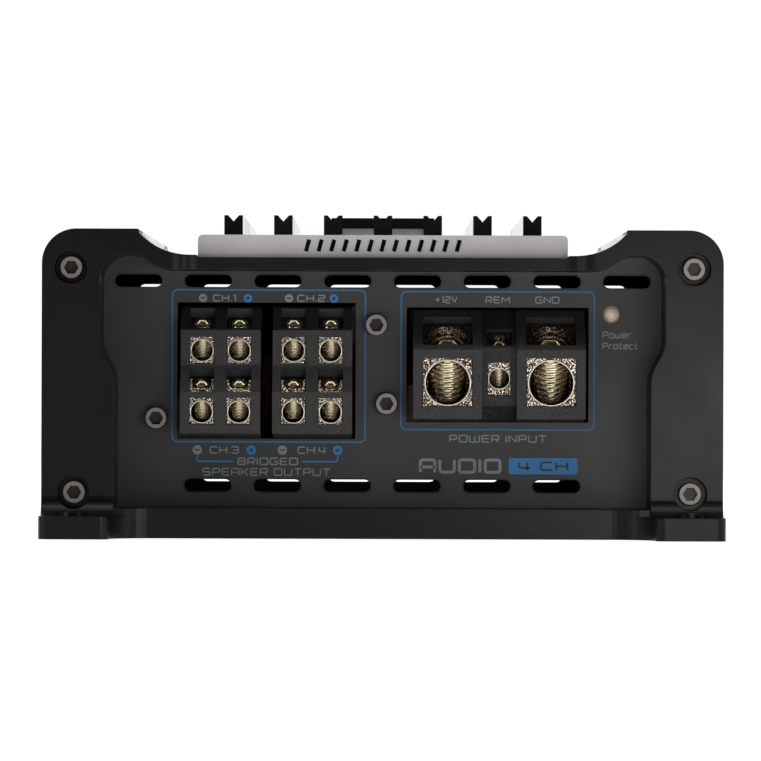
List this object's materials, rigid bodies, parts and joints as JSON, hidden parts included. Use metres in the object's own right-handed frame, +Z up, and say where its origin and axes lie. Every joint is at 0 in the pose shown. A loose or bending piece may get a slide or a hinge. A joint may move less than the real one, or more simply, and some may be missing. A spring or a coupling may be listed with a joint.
{
  "type": "car amplifier",
  "caption": "Compact multi-channel car amplifier: finned black body between cast end caps, recessed panels with screw clamp terminals and signal inputs.",
  "frame": {"origin": "centre of the bounding box in plan, on the ground under the mounting feet", "axes": "+X to the right seen from the terminal end, +Y from the terminal end to the input end, +Z up"},
  "size_m": [0.141, 0.194, 0.0677],
  "materials": {
    "body_coat": "extruded, satin black anodised with fine lengthways lines",
    "cap_coat": "die cast with a fine-grained satin black coat",
    "panel_sheet": "smooth satin dark grey coat on sheet metal",
    "cover_sheet": "satin grey coat",
    "badge_metal": "brushed lengthways, clear anodised",
    "plate_coat": "satin black with a bare underside",
    "corner_screw_metal": "dark nickel, slightly bronzed",
    "panel_screw_metal": "dark nickel",
    "plain_screw_metal": "bright zinc",
    "board_laminate": "green solder mask",
    "terminal_plastic": "finely spark-eroded dark plastic",
    "clamp_plating": "pale gold plate, slightly pitted",
    "set_screw_metal": "nickel plate",
    "lamp_lens": "diffused lens",
    "core_ferrite": "matt ferrite",
    "copper_winding": "enamelled copper wire",
    "capacitor_sleeve": "shrunk sleeve over an aluminium can",
    "chip_resin": "moulded resin",
    "pad_rubber": "soft thermal pad",
    "bar_metal": "zinc plate",
    "phono_plastic": "moulded plastic",
    "phono_gilt": "gold flash",
    "phono_insulator": "smooth insulator",
    "control_plastic": "moulded plastic",
    "switch_metal": "tinned shell",
    "knob_plastic": "moulded plastic"
  },
  "bodies": {
    "chassis": {"heatsink": "body_coat", "end_cap_front": "cap_coat", "end_cap_rear": "cap_coat", "terminal_panel": "panel_sheet", "input_panel": "panel_sheet", "bottom_plate": "cover_sheet", "badge_plate": "badge_metal", "roof_plate": "plate_coat", "corner_screws_front": "corner_screw_metal", "corner_screws_rear": "corner_screw_metal", "panel_screws_front": "panel_screw_metal", "panel_screws_rear": "panel_screw_metal", "bottom_screws": "plain_screw_metal", "board_screws": "plain_screw_metal", "clamp_bar_screws": "plain_screw_metal", "circuit_board": "board_laminate", "control_board": "board_laminate", "speaker_block_left": "terminal_plastic", "speaker_block_right": "terminal_plastic", "power_block": "terminal_plastic", "speaker_clamps": "clamp_plating", "power_clamps": "clamp_plating", "remote_clamp": "clamp_plating", "indicator_lamp": "lamp_lens", "transformer_core": "core_ferrite", "transformer_winding": "copper_winding", "filter_chokes": "copper_winding", "reservoir_capacitors": "capacitor_sleeve", "small_capacitors": "capacitor_sleeve", "board_chips": "chip_resin", "control_chips": "chip_resin", "power_transistors": "chip_resin", "insulating_pads": "pad_rubber", "clamp_bars": "bar_metal", "phono_block": "phono_plastic", "phono_shells": "phono_gilt", "phono_inserts": "phono_insulator", "control_bodies": "control_plastic", "switch_bodies": "switch_metal"},
    "speaker_screw_1_body": {"speaker_screw_1": "set_screw_metal"},
    "speaker_screw_2_body": {"speaker_screw_2": "set_screw_metal"},
    "speaker_screw_3_body": {"speaker_screw_3": "set_screw_metal"},
    "speaker_screw_4_body": {"speaker_screw_4": "set_screw_metal"},
    "speaker_screw_5_body": {"speaker_screw_5": "set_screw_metal"},
    "speaker_screw_6_body": {"speaker_screw_6": "set_screw_metal"},
    "speaker_screw_7_body": {"speaker_screw_7": "set_screw_metal"},
    "speaker_screw_8_body": {"speaker_screw_8": "set_screw_metal"},
    "power_screw_plus_body": {"power_screw_plus": "set_screw_metal"},
    "power_screw_ground_body": {"power_screw_ground": "set_screw_metal"},
    "remote_screw_body": {"remote_screw": "set_screw_metal"},
    "level_knob_a_body": {"level_knob_a": "knob_plastic"},
    "crossover_knob_a_body": {"crossover_knob_a": "knob_plastic"},
    "level_knob_b_body": {"level_knob_b": "knob_plastic"},
    "crossover_knob_b_body": {"crossover_knob_b": "knob_plastic"},
    "mode_slider_a_body": {"mode_slider_a": "knob_plastic"},
    "mode_slider_b_body": {"mode_slider_b": "knob_plastic"}
  },
  "joints": [
    {"name": "speaker_screw_1_drive", "type": "slide", "parent": "chassis", "child": "speaker_screw_1_body", "axis": [0, -0.5736, 0.8192], "range_m": [0, 0.0045]},
    {"name": "speaker_screw_2_drive", "type": "slide", "parent": "chassis", "child": "speaker_screw_2_body", "axis": [0, -0.5736, 0.8192], "range_m": [0, 0.0045]},
    {"name": "speaker_screw_3_drive", "type": "slide", "parent": "chassis", "child": "speaker_screw_3_body", "axis": [0, -0.5736, 0.8192], "range_m": [0, 0.0045]},
    {"name": "speaker_screw_4_drive", "type": "slide", "parent": "chassis", "child": "speaker_screw_4_body", "axis": [0, -0.5736, 0.8192], "range_m": [0, 0.0045]},
    {"name": "speaker_screw_5_drive", "type": "slide", "parent": "chassis", "child": "speaker_screw_5_body", "axis": [0, -0.5736, 0.8192], "range_m": [0, 0.0045]},
    {"name": "speaker_screw_6_drive", "type": "slide", "parent": "chassis", "child": "speaker_screw_6_body", "axis": [0, -0.5736, 0.8192], "range_m": [0, 0.0045]},
    {"name": "speaker_screw_7_drive", "type": "slide", "parent": "chassis", "child": "speaker_screw_7_body", "axis": [0, -0.5736, 0.8192], "range_m": [0, 0.0045]},
    {"name": "speaker_screw_8_drive", "type": "slide", "parent": "chassis", "child": "speaker_screw_8_body", "axis": [0, -0.5736, 0.8192], "range_m": [0, 0.0045]},
    {"name": "power_screw_plus_drive", "type": "slide", "parent": "chassis", "child": "power_screw_plus_body", "axis": [0, -0.5736, 0.8192], "range_m": [0, 0.0085]},
    {"name": "power_screw_ground_drive", "type": "slide", "parent": "chassis", "child": "power_screw_ground_body", "axis": [0, -0.5736, 0.8192], "range_m": [0, 0.0085]},
    {"name": "remote_screw_drive", "type": "slide", "parent": "chassis", "child": "remote_screw_body", "axis": [0, -0.5736, 0.8192], "range_m": [0, 0.0045]},
    {"name": "level_knob_a_turn", "type": "hinge", "parent": "chassis", "child": "level_knob_a_body", "pos_m": [-0.004, 0.07, 0.038], "axis": [0, -1, 0], "range_deg": [0, 280]},
    {"name": "crossover_knob_a_turn", "type": "hinge", "parent": "chassis", "child": "crossover_knob_a_body", "pos_m": [0.012, 0.07, 0.038], "axis": [0, -1, 0], "range_deg": [0, 280]},
    {"name": "level_knob_b_turn", "type": "hinge", "parent": "chassis", "child": "level_knob_b_body", "pos_m": [0.028, 0.07, 0.038], "axis": [0, -1, 0], "range_deg": [0, 280]},
    {"name": "crossover_knob_b_turn", "type": "hinge", "parent": "chassis", "child": "crossover_knob_b_body", "pos_m": [0.044, 0.07, 0.038], "axis": [0, -1, 0], "range_deg": [0, 280]},
    {"name": "mode_slider_a_throw", "type": "slide", "parent": "chassis", "child": "mode_slider_a_body", "axis": [1, 0, 0], "range_m": [0, 0.006]},
    {"name": "mode_slider_b_throw", "type": "slide", "parent": "chassis", "child": "mode_slider_b_body", "axis": [1, 0, 0], "range_m": [0, 0.006]}
  ]
}
